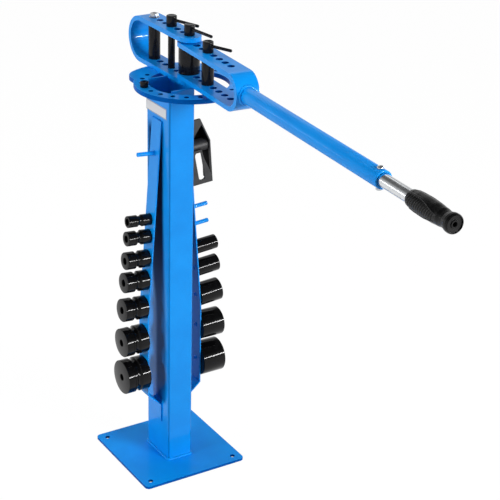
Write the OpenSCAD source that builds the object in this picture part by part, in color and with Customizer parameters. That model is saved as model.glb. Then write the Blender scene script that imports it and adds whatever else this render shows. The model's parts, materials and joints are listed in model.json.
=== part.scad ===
// Pipe bender on a pedestal: a square foot, a box column, an index ring, a fixed
// U frame and a swinging U frame with a long handle, bending dies and their pins.
// Millimetres, +Z up. The origin is the middle of the foot's underside, the swing
// arm points along -Y, the grooved dies hang on the -X side, the plain ones on +X.

/* [Foot] */
// Side of the square foot plate
base_w = 250; // [200:1:320]
// Thickness of the foot plate
base_t = 6; // [4:0.5:12]
// Corner radius of the foot plate
base_corner_r = 10; // [4:0.5:20]
// Diameter of the four anchor holes
base_hole_d = 11; // [8:0.5:14]
// Distance of the anchor holes from the edges
base_hole_inset = 20; // [14:0.5:35]

/* [Column] */
// Width of the box column, across
col_x = 60; // [50:1:80]
// Depth of the box column, front to back
col_y = 100; // [80:1:120]
// Wall of the box column
col_wall = 4; // [3:0.5:6]
// Outer corner radius of the box column
col_corner_r = 6; // [4.5:0.5:8]
// Height of the top of the ring, where the fixed frame rests on column and ring
head_z = 872; // [800:1:1000]
// How far the column's front and back stand up past the ring's top
col_rise = 4; // [2:0.5:6]
// Leg length of the fillet welds
weld_leg = 6; // [4:0.5:9]

/* [Index ring] */
// Width of the ring, from its opening to its outer edge
ring_w = 30.5; // [26:0.5:40]
// How far the column's left corners reach under the ring
corner_bite = 4.4; // [2:0.2:7]
// Thickness of the ring plate
ring_t = 10; // [8:0.5:14]
// Distance of the index holes' middles from the ring's outer edge
index_edge = 16.5; // [12:0.5:20]
// Diameter of an index hole
index_hole_d = 10; // [8:0.5:12]
// Index holes round the full circle
index_holes = 22; // [12:1:28]
// How far the pivot stands off the column's middle
pivot_x = 43.5; // [38:0.5:50]
// Half width of the ring's wide sector under the fixed frame
lobe_half_w = 92; // [80:1:105]
// Corner radius of the wide sector
lobe_corner_r = 45; // [20:1:60]

/* [U frames] */
// Width of the flat bar
bar_w = 50; // [44:1:56]
// Thickness of the flat bar
bar_t = 10; // [8:0.5:11]
// Distance from the roller's middle to the start of the fixed frame's bend
bend_room = 21; // [18:0.5:60]
// Height over the two legs of the swing frame
arm_h = 77; // [65:0.5:90]
// Distance from the pivot to the middle of the swing frame's bend
arm_reach = 219; // [212:1:300]
// Distance between neighbouring pin holes
hole_pitch = 25; // [24:0.5:27]
// Pin holes in each leg of the fixed frame behind the pivot
fixed_holes = 5; // [5:1:5]
// Distance from the pivot to the swing frame's first pin hole
arm_first = 34.5; // [33:0.5:40]
// Pin holes in each leg of the swing frame in front of the pivot
arm_holes = 7; // [5:1:7]
// Angle of the swing frame to the front, seen from above, in degrees
arm_angle = -3.6; // [-20:0.1:20]

/* [Pins] */
// Diameter of the pull pins
pin_d = 15; // [12:0.5:16]
// Radial clearance of a pin in its hole and of a die on its pin
fit_clear = 0.08; // [0.05:0.01:0.09]
// Diameter of a pull pin's cap
cap_d = 22.5; // [19:0.5:24]
// Height of a pull pin's cap
cap_h = 23; // [19:0.5:26]
// How far a pin stands out below its frame
pin_tail = 4; // [1:0.5:6]
// Diameter of a pin's side lever
lever_d = 6.5; // [5:0.5:7]
// Length of the two side levers on the fixed frame, from the pin's axis
lever_len = 76; // [40:1:80]
// Length of the swing frame's side lever, from the pin's axis
arm_lever_len = 60; // [40:1:70]
// Height of a side lever above the cap's underside
lever_up = 14; // [13:0.5:16]
// Diameter of the stop pin's head
stop_head_d = 17; // [14:0.5:20]
// Height of the stop pin's head
stop_head_h = 12; // [11:0.5:16]

/* [Dies] */
// Radius of the round groove in a grooved die
groove_r = 8; // [7:0.5:11]
// Depth of the round groove in the larger dies
groove_deep = 4; // [3:0.5:6]
// Width of the fine line turned round a grooved die
line_w = 1.4; // [0.8:0.1:2]
// Distance of the fine line from the outer end of a die
line_at = 16; // [14:0.5:18]
// Diameter of the roller's bolt
bolt_d = 12; // [10:0.5:14]

/* [Handle] */
// Diameter of the handle tube
handle_d = 34; // [32:0.5:40]
// Wall of the handle tube
handle_wall = 4; // [3:0.25:4.3]
// Distance from the pivot to the handle tube's open end
handle_end = 735; // [500:1:800]
// Diameter of the inner tube
inner_d = 25; // [20:0.5:25.5]
// Wall of the inner tube
inner_wall = 2; // [1.5:0.25:3]
// How far the inner tube reaches into the handle tube
inner_in = 170; // [100:1:220]
// Distance from the pivot to the front end of the grip
grip_start = 819; // [780:1:860]
// Length of the grip
grip_len = 121; // [100:1:140]
// Largest diameter of the grip
grip_d = 37; // [32:0.5:42]
// Diameter of the cross bolt that holds the inner tube
cross_d = 6; // [4:0.5:7]

/* [Rack] */
// Width of the rack strips
rack_w = 40; // [30:1:60]
// Thickness of the rack strips
rack_t = 3; // [2:0.25:5]
// Height of a rack strip's top end
rack_top = 804; // [780:1:830]
// Height where a rack strip starts to lean in
rack_knee = 355; // [330:1:375]
// Height where a rack strip turns back to the column
rack_heel = 167; // [160:1:175]
// Height where a rack strip meets the column again
rack_toe = 136; // [125:1:145]
// Height of a rack strip's lower end
rack_foot = 92; // [80:1:110]
// Distance of the left strip's lower outer face from the column's side
left_stand = 35.5; // [28:0.5:42]
// Distance of the right strip's lower outer face from the column's side
right_stand = 38.5; // [28:0.5:42]
// Diameter of a peg
peg_d = 9; // [7:0.5:11]
// Length of a peg outside its strip
peg_len = 40; // [30:1:50]

/* [Slotted block] */
// Height of the block below its bore
block_down = 82; // [76:1:90]
// Height of the block above its bore
block_up = 66; // [55:1:70]
// Depth of the block, front to back
block_depth = 40; // [30:1:50]
// Rim and web thickness of the block
block_wall = 6; // [5:0.5:8]
// Diameter of the boss round the block's bore
block_boss_d = 28; // [24:0.5:32]
// Width of the block's long slot
block_slot_w = 15; // [10:0.5:16]

/* [Hidden] */
$fn = 64;

// Colours of the paint, the blackened steel and the plated parts
blue = [0.12, 0.55, 0.93];
black = [0.13, 0.13, 0.14];
silver = [0.78, 0.79, 0.80];
rubber = [0.09, 0.09, 0.09];

// One overrun serves every cut, one gap keeps resting and sliding faces apart
cut = 1;
gap = 0.3;

// Nominal die sizes, one inch to three
inch = 25.4;
die_1 = inch;
die_2 = 1.25 * inch;
die_3 = 1.5 * inch;
die_4 = 1.75 * inch;
die_5 = 2 * inch;
die_6 = 2.5 * inch;
die_7 = 3 * inch;
die_edge = 1;
groove_wall_share = 0.5;

// The swing frame turns inside the fixed frame, and dies and roller turn inside the legs
nest_clear = 3;
die_clear = 3;
roller_clear = 1;
fixed_h = arm_h + 2 * bar_t + nest_clear;
die_len = arm_h - 2 * bar_t - die_clear;
roller_len = fixed_h - 2 * bar_t - roller_clear;

// Levels of the head
ring_z = head_z - ring_t;
fixed_z = head_z;
arm_z = fixed_z + bar_t + gap;
fixed_top = fixed_z + fixed_h;
arm_top = arm_z + arm_h;
handle_z = arm_z + arm_h / 2;
bore_d = pin_d + 2 * fit_clear;

// Places of the pins along the frames
back_pin_y = 3 * hole_pitch;
roller_y = 6 * hole_pitch;
fixed_reach = roller_y + bend_room;
arm_pin_y = arm_first + 2 * hole_pitch;

// The ring is centred on the pivot, and its opening just covers the column's left corners
ring_bore_d = 2 * (norm([pivot_x + col_x / 2, col_y / 2]) - corner_bite);
ring_d = ring_bore_d + 2 * ring_w;
index_circle_d = ring_d - 2 * index_edge;
notch_w = pivot_x + col_x / 2 - sqrt(pow(ring_bore_d / 2, 2) - pow(col_y / 2, 2)) + gap;

// Turn of the three side levers, seen from above
back_lever_turn = -72;
pivot_lever_turn = -83;
arm_lever_turn = 25;
lever_bore_deep = cap_d * 0.7;
cap_edge = cap_d / 12;
pin_point = pin_d / 10;

// Index holes stand off the x axis by this turn, the stop pin is in hole number 11
index_turn = -8;
stop_hole = 11;
stop_pin_d = index_hole_d - 2 * fit_clear;
stop_socket_d = stop_head_d * 0.45;

// Roller bolt, its washer and its nut
bolt_head_d = 1.5 * bolt_d;
bolt_head_h = 0.6 * bolt_d;
washer_d = 1.9 * bolt_d;
washer_t = bolt_d / 6;
nut_af = 19 / 12 * bolt_d;
nut_h = 0.75 * bolt_d;
bolt_bore_d = bolt_d + 2 * fit_clear;

// The wide sector ends just before the roller bolt's nut
nut_clear = 1;
lobe_r = roller_y - nut_af / 2 / cos(30) - nut_clear;
lobe_side = lobe_half_w - lobe_corner_r;
lobe_corner_y = sqrt(pow(lobe_r - lobe_corner_r, 2) - lobe_side * lobe_side);
lobe_turn = atan(lobe_side / lobe_corner_y);

// Handle fittings
cross_at = handle_end - 2 * cross_d;
cross_bore_d = cross_d + 2 * fit_clear;
cross_head_d = 1.9 * cross_d;
cross_head_h = 0.7 * cross_d;
cross_nut_af = 1.7 * cross_d;
cross_nut_h = 0.8 * cross_d;
handle_weld_run = 12;
grip_end_wall = 12;
grip_hole_d = 8;

// Peg heights as shares of the rack, from its foot, the top one first. Side -1 is the
// left and side 1 the right in all that follows.
left_peg_shares = [0.896, 0.693, 0.639, 0.568, 0.497, 0.407, 0.302, 0.183];
right_peg_shares = [0.896, 0.699, 0.642, 0.568, 0.497, 0.404, 0.298, 0.18];

// A rack strip's middle line: distance from the column's middle, height
function rack_in() = col_x / 2 + rack_t / 2;
function rack_out(side) = col_x / 2 + (side < 0 ? left_stand : right_stand) - rack_t / 2;
function rack_path(side) = [[rack_in(), rack_top], [rack_out(side), rack_knee],
    [rack_out(side), rack_heel], [rack_in(), rack_toe], [rack_in(), rack_foot]];
function rack_lean(side) = atan((rack_out(side) - rack_in()) / (rack_top - rack_knee));

// Square to the run between two points of the path, and the mitre where two runs meet
function rack_square(a, b) = [a[1] - b[1], b[0] - a[0]] / norm(b - a);
function rack_mitre(a, b) = (a + b) / (1 + a * b);
function rack_side(p, i) = i == 0 ? [1, 0] / rack_square(p[0], p[1])[0]
    : i == len(p) - 1 ? [1, 0] / rack_square(p[i - 1], p[i])[0]
    : rack_mitre(rack_square(p[i - 1], p[i]), rack_square(p[i], p[i + 1]));

// Height of a peg, its lean and the distance of its root from the column's middle
function peg_z(i, side) = rack_foot
    + (side < 0 ? left_peg_shares : right_peg_shares)[i] * (rack_top - rack_foot);
function peg_lean(i, side) = peg_z(i, side) > rack_knee ? rack_lean(side) : 0;
function peg_x(i, side) = rack_out(side) - max(0, peg_z(i, side) - rack_knee) * tan(rack_lean(side))
    + rack_t / 2 / cos(peg_lean(i, side));
// A hung bore rests on its peg with the gap between them
hang = (bore_d - peg_d) / 2 - gap;

// Outline of the slotted block: distance from the strip, height from the bore
block_out_share = 0.87;
block_top_share = 0.44;
block_shoulder_share = 0.18;
block_outline = [
    [0, -block_down],
    [die_len, -block_down],
    [die_len * block_out_share, block_up * block_shoulder_share],
    [die_len * block_top_share, block_up],
    [0, block_up]];
block_slot_top = [die_len * 0.5, -block_down * 0.34];
block_slot_foot = [die_len * 0.66, -block_down * 0.84];

// Rectangle with round corners, about the origin
module round_plan(x, y, r) {
    square([x - 2 * r, y], center = true);
    square([x, y - 2 * r], center = true);
    for (sx = [-1, 1], sy = [-1, 1])
        translate([sx * (x / 2 - r), sy * (y / 2 - r)]) circle(r = r);
}

// Everything that belongs to the head stands on the pivot
module at_pivot(z) {
    translate([pivot_x, 0, z]) children();
}

// The swinging parts point along +Y in their own frame
module at_arm(z) {
    at_pivot(z) rotate([0, 0, 180 + arm_angle]) children();
}

// Fillet weld round the column's outline, standing on the plane below it
module column_fillet() {
    run_x = col_x - 2 * col_corner_r;
    run_y = col_y - 2 * col_corner_r;
    for (s = [0, 180]) rotate([0, 0, s]) {
        translate([0, col_y / 2, 0]) rotate([90, 0, 90])
            linear_extrude(run_x, center = true) fillet_section();
        translate([col_x / 2, 0, 0]) rotate([90, 0, 0])
            linear_extrude(run_y, center = true) fillet_section();
        for (m = [0, 1]) mirror([m, 0, 0])
            translate([run_x / 2, run_y / 2, 0]) rotate_extrude(angle = 90)
                translate([col_corner_r, 0]) fillet_section();
    }
}

module fillet_section() {
    polygon([[0, 0], [weld_leg, 0], [0, weld_leg]]);
}

// Flat bar bent to a U on its side, with round leg ends and drilled through both legs
module u_frame(height, reach, hole_ys) {
    difference() {
        intersection() {
            rotate([90, 0, 90]) linear_extrude(bar_w, center = true) difference() {
                u_side(height, reach, 0);
                u_side(height, reach, bar_t);
            }
            linear_extrude(height) {
                circle(d = bar_w);
                translate([-bar_w / 2, 0]) square([bar_w, reach + height]);
            }
        }
        for (y = hole_ys) translate([0, y, -cut]) cylinder(d = bore_d, h = height + 2 * cut);
    }
}

// Side view of a U frame, drawn in by the bar's thickness
module u_side(height, reach, inset) {
    translate([-bar_w, inset]) square([bar_w + reach, height - 2 * inset]);
    translate([reach, height / 2]) circle(d = height - 2 * inset);
}

// Pull pin, its cap's underside at the origin
module pull_pin(length) {
    shaft = length - pin_point;
    difference() {
        union() {
            translate([0, 0, -shaft]) cylinder(d = pin_d, h = shaft + cut);
            translate([0, 0, -length]) cylinder(d1 = pin_d - 2 * pin_point, d2 = pin_d, h = pin_point);
            rotate_extrude() polygon([[0, 0], [cap_d / 2, 0], [cap_d / 2, cap_h - cap_edge],
                [cap_d / 2 - cap_edge, cap_h], [0, cap_h]]);
        }
        translate([cap_d / 2 - lever_bore_deep, 0, lever_up]) rotate([0, 90, 0])
            cylinder(d = lever_d + 2 * fit_clear, h = lever_bore_deep + cut);
    }
}

// Side lever of a pull pin, with a round end
module side_lever(length) {
    start = cap_d / 2 - lever_bore_deep + gap;
    translate([0, 0, lever_up]) rotate([0, 90, 0]) {
        translate([0, 0, start]) cylinder(d = lever_d, h = length - lever_d / 2 - start);
        translate([0, 0, length - lever_d / 2]) sphere(d = lever_d);
    }
}

// Plain die or roller with broken edges, standing on the origin
module plain_roll(d, length, bore) {
    rotate_extrude() polygon([[bore / 2, 0], [d / 2 - die_edge, 0], [d / 2, die_edge],
        [d / 2, length - die_edge], [d / 2 - die_edge, length], [bore / 2, length]]);
}

// Grooved die: a half round groove at mid length and a fine line near the outer end
module grooved_roll(d) {
    deep = min(groove_deep, groove_wall_share * (d - bore_d) / 2);
    difference() {
        plain_roll(d, die_len, bore_d);
        translate([0, 0, die_len / 2]) rotate_extrude()
            translate([d / 2 - deep + groove_r, 0]) circle(r = groove_r);
        translate([0, 0, die_len - line_at]) rotate_extrude()
            translate([d / 2, 0]) circle(d = line_w, $fn = 24);
    }
}

// Places its children on peg i of a side, with +Z along the peg from the strip
module on_peg(i, side, drop) {
    translate([side * peg_x(i, side), 0, peg_z(i, side)]) rotate([0, side * (90 - peg_lean(i, side)), 0])
        translate([side * drop, 0, 0]) children();
}

module hung_grooved_die(i, d) {
    color(black) on_peg(i, -1, hang) translate([0, 0, gap]) grooved_roll(d);
}

module hung_plain_die(i, d) {
    color(black) on_peg(i, 1, hang) translate([0, 0, gap]) plain_roll(d, die_len, bore_d);
}

// Flat strip along the rack's path, with mitred bends
module rack_strip(side) {
    p = rack_path(side);
    last = len(p) - 1;
    color(blue) mirror([side < 0 ? 1 : 0, 0, 0]) rotate([90, 0, 0]) linear_extrude(rack_w, center = true)
        polygon(concat([for (i = [0 : last]) p[i] + rack_side(p, i) * rack_t / 2],
            [for (i = [last : -1 : 0]) p[i] - rack_side(p, i) * rack_t / 2]));
}

module rack_pegs(side) {
    color(blue) for (i = [0 : len(left_peg_shares) - 1])
        on_peg(i, side, 0) cylinder(d = peg_d, h = peg_len);
}

module hex_prism(af, h) {
    cylinder(d = af / cos(30), h = h, $fn = 6);
}

module base_plate() {
    far = base_w / 2 - base_hole_inset;
    color(blue) linear_extrude(base_t) difference() {
        round_plan(base_w, base_w, base_corner_r);
        for (x = [-far, far], y = [-far, far]) translate([x, y]) circle(d = base_hole_d);
    }
}

// The column stands up through the ring. Its left side is notched down to carry the
// ring, and its top is let in where the fixed frame rests on it.
module column() {
    color(blue) difference() {
        translate([0, 0, base_t]) linear_extrude(head_z + col_rise - base_t) difference() {
            round_plan(col_x, col_y, col_corner_r);
            round_plan(col_x - 2 * col_wall, col_y - 2 * col_wall, col_corner_r - col_wall);
        }
        translate([-col_x / 2 - cut, -col_y / 2 - cut, ring_z])
            cube([notch_w + cut, col_y + 2 * cut, ring_t + col_rise + cut]);
        at_pivot(fixed_z) {
            cylinder(d = bar_w + 2 * gap, h = col_rise + cut);
            translate([-bar_w / 2 - gap, 0, 0]) cube([bar_w + 2 * gap, col_y, col_rise + cut]);
        }
    }
}

module foot_weld() {
    color(blue) translate([0, 0, base_t]) column_fillet();
}

// Weld between the column's corners and the underside of the ring
module ring_weld() {
    color(blue) intersection() {
        translate([0, 0, ring_z]) mirror([0, 0, 1]) column_fillet();
        at_pivot(ring_z - weld_leg) difference() {
            cylinder(d = ring_d, h = weld_leg);
            translate([0, 0, -cut]) cylinder(d = ring_bore_d, h = weld_leg + 2 * cut);
        }
    }
}

function arc_points(middle, r, from, to, steps) =
    [for (i = [0 : steps]) let (a = from + (to - from) * i / steps) middle + r * [cos(a), sin(a)]];

// Wide sector of the ring: two round corners and a wide arc between them
function lobe_outline() = concat([[lobe_half_w, 0]],
    arc_points([lobe_side, lobe_corner_y], lobe_corner_r, 0, 90 - lobe_turn, 8),
    arc_points([0, 0], lobe_r, 90 - lobe_turn, 90 + lobe_turn, 16),
    arc_points([-lobe_side, lobe_corner_y], lobe_corner_r, 90 + lobe_turn, 180, 8),
    [[-lobe_half_w, 0]]);

module index_ring() {
    color(blue) at_pivot(ring_z) linear_extrude(ring_t) difference() {
        union() {
            circle(d = ring_d, $fn = 128);
            polygon(lobe_outline());
        }
        circle(d = ring_bore_d, $fn = 128);
        for (i = [0 : index_holes - 1]) {
            a = index_turn + i * 360 / index_holes;
            under_frame = sin(a) > 0 && abs(cos(a)) * index_circle_d < bar_w + index_hole_d;
            if (!under_frame) rotate(a) translate([index_circle_d / 2, 0]) circle(d = index_hole_d);
        }
        for (k = [1 : fixed_holes]) translate([0, k * hole_pitch]) circle(d = bore_d);
    }
}

module fixed_frame() {
    color(blue) at_pivot(fixed_z) difference() {
        u_frame(fixed_h, fixed_reach, [for (k = [0 : fixed_holes]) k * hole_pitch]);
        translate([0, roller_y, -cut]) cylinder(d = bolt_bore_d, h = fixed_h + 2 * cut);
    }
}

module roller_bolt() {
    under = nut_h + cut;
    color(silver) at_pivot(fixed_top + washer_t) translate([0, roller_y, 0]) difference() {
        union() {
            cylinder(d = bolt_head_d, h = bolt_head_h);
            translate([0, 0, -fixed_h - washer_t - under])
                cylinder(d = bolt_d, h = fixed_h + washer_t + under);
        }
        translate([0, 0, bolt_head_h / 3]) hex_prism(bolt_d * 0.6, bolt_head_h);
    }
}

module roller_washer() {
    color(silver) at_pivot(fixed_top) translate([0, roller_y, 0]) difference() {
        cylinder(d = washer_d, h = washer_t);
        translate([0, 0, -cut]) cylinder(d = bolt_bore_d, h = washer_t + 2 * cut);
    }
}

module roller_nut() {
    color(silver) at_pivot(fixed_z - nut_h) translate([0, roller_y, 0]) difference() {
        rotate([0, 0, 30]) hex_prism(nut_af, nut_h);
        translate([0, 0, -cut]) cylinder(d = bolt_bore_d, h = nut_h + 2 * cut);
    }
}

module back_roller() {
    color(black) at_pivot(fixed_z + bar_t + gap) translate([0, roller_y, 0])
        plain_roll(die_1, roller_len, bolt_bore_d);
}

module stop_pin() {
    a = index_turn + stop_hole * 360 / index_holes;
    length = ring_t + pin_tail + gap;
    color(black) at_pivot(head_z + gap) rotate([0, 0, a])
        translate([index_circle_d / 2, 0, 0]) difference() {
            union() {
                cylinder(d = stop_head_d, h = stop_head_h);
                translate([0, 0, -length]) cylinder(d = stop_pin_d, h = length + cut);
            }
            translate([0, 0, stop_head_h / 3]) hex_prism(stop_socket_d, stop_head_h);
        }
}

module swing_frame() {
    hole_ys = concat([0], [for (k = [0 : arm_holes - 1]) arm_first + k * hole_pitch]);
    color(blue) at_arm(arm_z) u_frame(arm_h, arm_reach, hole_ys);
}

// Solid that the swing frame's bend fills, for the ends welded to it
module bend_round(extra) {
    translate([0, arm_reach, arm_h / 2]) rotate([0, 90, 0])
        cylinder(d = arm_h, h = bar_w + extra, center = true);
}

module along_handle(y) {
    translate([0, y, arm_h / 2]) rotate([-90, 0, 0]) children();
}

module handle_tube() {
    start = arm_reach + arm_h / 4;
    color(blue) at_arm(arm_z) difference() {
        along_handle(start) cylinder(d = handle_d, h = handle_end - start);
        along_handle(start - cut)
            cylinder(d = handle_d - 2 * handle_wall, h = handle_end - start + 2 * cut);
        bend_round(cut);
        translate([0, cross_at, 0]) cylinder(d = cross_bore_d, h = arm_h);
    }
}

module handle_weld() {
    start = arm_reach + arm_h / 2 - handle_weld_run * 0.6;
    color(blue) at_arm(arm_z) difference() {
        along_handle(start) cylinder(d1 = handle_d + handle_weld_run, d2 = handle_d, h = handle_weld_run);
        along_handle(start - cut) cylinder(d = handle_d, h = handle_weld_run + 2 * cut);
        bend_round(handle_weld_run);
    }
}

module inner_tube() {
    start = handle_end - inner_in;
    length = grip_start + grip_len - grip_end_wall - start;
    color(silver) at_arm(arm_z) difference() {
        along_handle(start) cylinder(d = inner_d, h = length);
        along_handle(start - cut) cylinder(d = inner_d - 2 * inner_wall, h = length + 2 * cut);
        translate([0, cross_at, 0]) cylinder(d = cross_bore_d, h = arm_h);
    }
}

module cross_bolt() {
    tail = handle_d / 2 + cross_nut_h + cut;
    color(silver) at_arm(handle_z) translate([0, cross_at, 0]) {
        translate([0, 0, handle_d / 2]) cylinder(d = cross_head_d, h = cross_head_h);
        translate([0, 0, -tail]) cylinder(d = cross_d, h = tail + handle_d / 2 + cut);
    }
}

module cross_nut() {
    color(silver) at_arm(handle_z) translate([0, cross_at, -handle_d / 2 - cross_nut_h]) difference() {
        hex_prism(cross_nut_af, cross_nut_h);
        translate([0, 0, -cut]) cylinder(d = cross_bore_d, h = cross_nut_h + 2 * cut);
    }
}

// Hand grip turned as one profile: round front, full middle, neck and end flange.
// Each pair is a share of the grip's length and of its largest radius.
grip_profile_shares = [[0, 0.76], [0.02, 0.84], [0.08, 0.92], [0.2, 0.98], [0.36, 1], [0.56, 0.98],
    [0.72, 0.92], [0.78, 0.87], [0.82, 0.86], [0.86, 0.94], [0.9, 0.98], [0.95, 0.98],
    [0.985, 0.93], [1, 0.84]];

module grip() {
    bore = inner_d / 2 + fit_clear;
    outline = [for (p = grip_profile_shares) [p[1] * grip_d / 2, p[0] * grip_len]];
    inside = grip_len - grip_end_wall;
    color(rubber) at_arm(arm_z) along_handle(grip_start) difference() {
        rotate_extrude() polygon(concat([[0, 0]], outline, [[0, grip_len]]));
        translate([0, 0, -cut]) cylinder(r = bore, h = inside + cut);
        cylinder(d = grip_hole_d, h = grip_len + cut);
    }
}

module pivot_pin() {
    color(black) at_pivot(fixed_top + gap) rotate([0, 0, pivot_lever_turn])
        pull_pin(fixed_h + gap + pin_tail);
}

module pivot_pin_lever() {
    color(black) at_pivot(fixed_top + gap) rotate([0, 0, pivot_lever_turn])
        side_lever(lever_len);
}

module back_pin() {
    color(black) at_pivot(fixed_top + gap) translate([0, back_pin_y, 0])
        rotate([0, 0, back_lever_turn]) pull_pin(fixed_h + gap + pin_tail);
}

module back_pin_lever() {
    color(black) at_pivot(fixed_top + gap) translate([0, back_pin_y, 0])
        rotate([0, 0, back_lever_turn]) side_lever(lever_len);
}

module arm_pin() {
    color(black) at_arm(arm_top + gap) translate([0, arm_pin_y, 0])
        rotate([0, 0, 90 + arm_lever_turn]) pull_pin(arm_h + gap + pin_tail);
}

module arm_pin_lever() {
    color(black) at_arm(arm_top + gap) translate([0, arm_pin_y, 0])
        rotate([0, 0, 90 + arm_lever_turn]) side_lever(arm_lever_len);
}

module centre_die() {
    color(black) at_pivot(arm_z + bar_t + gap) plain_roll(die_4, die_len, bore_d);
}

module arm_die() {
    color(black) at_arm(arm_z + bar_t + gap) translate([0, arm_pin_y, 0])
        plain_roll(die_1, die_len, bore_d);
}

// Ribbed casting that hangs on the top peg of the +X side: a rim round a thin web,
// a boss that bridges the rim, and a long slot through the web. Drawn with its
// length along +Z from the strip and its height along -X, as the peg's frame turns it.
module slotted_block() {
    color(black) on_peg(0, 1, hang) translate([0, 0, gap]) rotate([0, -90, 0]) rotate([90, 0, 0])
        difference() {
            union() {
                linear_extrude(block_depth, center = true) difference() {
                    polygon(block_outline);
                    block_inside();
                }
                linear_extrude(block_wall, center = true) polygon(block_outline);
                intersection() {
                    linear_extrude(block_depth, center = true) polygon(block_outline);
                    rotate([0, 90, 0]) cylinder(d = block_boss_d, h = die_len);
                }
                linear_extrude(block_depth * 0.6, center = true) block_rib();
            }
            translate([-cut, 0, 0]) rotate([0, 90, 0]) cylinder(d = bore_d, h = die_len + 2 * cut);
            linear_extrude(block_depth + 2 * cut, center = true) block_slot();
        }
}

// Inside of the block's rim: the outline drawn in by the wall
module block_inside() {
    low = [block_wall, -block_down + 2 * block_wall];
    polygon([low, [die_len - block_wall * 1.1, low[1]],
        [die_len * block_out_share - block_wall * 1.05, block_up * block_shoulder_share - block_wall * 0.2],
        [die_len * block_top_share - block_wall * 0.6, block_up - block_wall],
        [block_wall, block_up - block_wall]]);
}

module block_slot() {
    run = block_slot_foot - block_slot_top;
    translate(block_slot_top) rotate(atan2(run[1], run[0]))
        translate([0, -block_slot_w / 2]) square([norm(run), block_slot_w]);
    for (p = [block_slot_top, block_slot_foot]) translate(p) circle(d = block_slot_w);
}

// Rib between the slot and the outer rim, wide at the foot
module block_rib() {
    foot = -block_down + block_wall;
    polygon([[die_len * 0.8, foot], [die_len * 0.95, foot], [die_len * 0.86, -block_down * 0.3],
        [die_len * 0.82, -block_down * 0.3]]);
}

base_plate();
column();
foot_weld();
ring_weld();
index_ring();
fixed_frame();
roller_bolt();
roller_washer();
roller_nut();
back_roller();
stop_pin();
rack_strip(-1);  // rack_left
rack_strip(1);  // rack_right
rack_pegs(-1);  // rack_pegs_left
rack_pegs(1);  // rack_pegs_right
swing_frame();
handle_tube();
handle_weld();
inner_tube();
cross_bolt();
cross_nut();
grip();
pivot_pin();
pivot_pin_lever();
back_pin();
back_pin_lever();
arm_pin();
arm_pin_lever();
centre_die();
arm_die();
hung_grooved_die(1, die_1);  // grooved_die_25
hung_grooved_die(2, die_2);  // grooved_die_32
hung_grooved_die(3, die_3);  // grooved_die_38
hung_grooved_die(4, die_4);  // grooved_die_44
hung_grooved_die(5, die_5);  // grooved_die_51
hung_grooved_die(6, die_6);  // grooved_die_64
hung_grooved_die(7, die_7);  // grooved_die_76
hung_plain_die(3, die_2);  // plain_die_32
hung_plain_die(4, die_3);  // plain_die_38
hung_plain_die(5, die_5);  // plain_die_51
hung_plain_die(6, die_6);  // plain_die_64
hung_plain_die(7, die_7);  // plain_die_76
slotted_block();
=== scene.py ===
# %% [markdown]
# # A pedestal pipe bender, dressed in Blender
# The object is a blue steel stand: a square foot, a box column, an index ring and two
# flat bars bent to a U, one fixed and one on a long handle. Blackened steel dies hang on
# pegs down both sides. The CAD model gives every place and size, so each piece here is
# built over its CAD part, and this script only adds form, finish, light and a camera.

import json
import math

import bpy
from mathutils import Matrix, Vector

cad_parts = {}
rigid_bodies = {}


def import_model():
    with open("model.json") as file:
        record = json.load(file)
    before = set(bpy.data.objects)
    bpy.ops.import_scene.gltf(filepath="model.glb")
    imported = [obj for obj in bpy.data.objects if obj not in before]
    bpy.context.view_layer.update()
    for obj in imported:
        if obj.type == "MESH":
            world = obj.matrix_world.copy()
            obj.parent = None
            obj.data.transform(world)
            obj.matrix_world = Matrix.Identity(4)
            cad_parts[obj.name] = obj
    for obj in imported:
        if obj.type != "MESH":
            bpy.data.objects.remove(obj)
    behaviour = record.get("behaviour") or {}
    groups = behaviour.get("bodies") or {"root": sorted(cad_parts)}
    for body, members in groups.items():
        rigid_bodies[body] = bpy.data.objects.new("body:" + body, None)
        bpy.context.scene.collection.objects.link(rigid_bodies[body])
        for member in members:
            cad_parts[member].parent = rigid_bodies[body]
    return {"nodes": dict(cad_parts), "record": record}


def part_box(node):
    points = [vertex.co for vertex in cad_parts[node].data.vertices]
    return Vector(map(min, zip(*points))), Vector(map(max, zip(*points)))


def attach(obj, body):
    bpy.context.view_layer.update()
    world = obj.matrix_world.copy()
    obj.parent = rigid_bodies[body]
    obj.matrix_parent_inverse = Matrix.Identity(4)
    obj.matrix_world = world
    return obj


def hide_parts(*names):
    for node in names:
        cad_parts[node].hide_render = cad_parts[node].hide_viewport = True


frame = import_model()
nodes = frame["nodes"]
body_of_node = {n: b for b, ns in frame["record"]["behaviour"]["bodies"].items() for n in ns}
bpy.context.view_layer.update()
MM = 0.001

# %% [markdown]
# ## The camera
# The photograph looks down on the stand from its front left, from about three metres
# away. The angles below were fitted to the straight edges and round holes of the
# photograph, so the picture plane turns a little too: that is the small roll. A camera
# that tracks a point is simpler but keeps its top upright, so here its axes are set.

# %% Camera
CAMERA_AT = (-1.4246, -2.5671, 1.8339)
LENS_MM, SENSOR_MM = 107.59, 36
SHIFT = (0.00806, -0.0005)
yaw, pitch, roll = (math.radians(a) for a in (-32.22, 24.38, 1.51))
back = Vector((math.sin(yaw) * math.cos(pitch), -math.cos(yaw) * math.cos(pitch), math.sin(pitch)))
right = Vector((math.cos(yaw), math.sin(yaw), 0))
up = back.cross(right)
picture_right = right * math.cos(roll) + up * math.sin(roll)
picture_up = up * math.cos(roll) - right * math.sin(roll)
camera = bpy.data.objects.new("camera", bpy.data.cameras.new("camera"))
bpy.context.scene.collection.objects.link(camera)
turn = Matrix((picture_right, picture_up, back)).transposed()
camera.matrix_world = Matrix.Translation(CAMERA_AT) @ turn.to_4x4()
camera.data.sensor_width, camera.data.lens = SENSOR_MM, LENS_MM
camera.data.shift_x, camera.data.shift_y = SHIFT
camera.data.clip_end = 50
bpy.context.scene.camera = camera
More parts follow.
